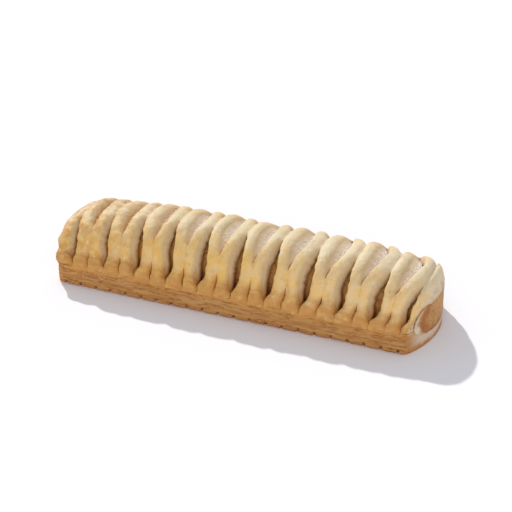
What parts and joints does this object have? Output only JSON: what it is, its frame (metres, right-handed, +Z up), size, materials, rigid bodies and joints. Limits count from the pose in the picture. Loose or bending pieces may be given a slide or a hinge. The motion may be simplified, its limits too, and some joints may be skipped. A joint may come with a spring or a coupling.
{
  "type": "lattice-topped vegan sausage roll",
  "caption": "Baked sausage roll: a flaky pastry base and a slit lattice sheet of glazed pastry draped over a log of filling that shows at the cut ends.",
  "frame": {"origin": "middle of the roll's flat underside", "axes": "+X along the roll, towards the end whose cut face shows; +Y across it, away from the side that shows; +Z up"},
  "size_m": [0.156, 0.044, 0.0295],
  "materials": {
    "base_pastry": "matt, flaky baked puff pastry",
    "filling": "matt, coarse baked filling",
    "lattice_pastry": "satin, glazed and baked puff pastry"
  },
  "bodies": {
    "root": {"base_pastry": "base_pastry", "filling": "filling", "lattice_pastry": "lattice_pastry"}
  },
  "joints": []
}
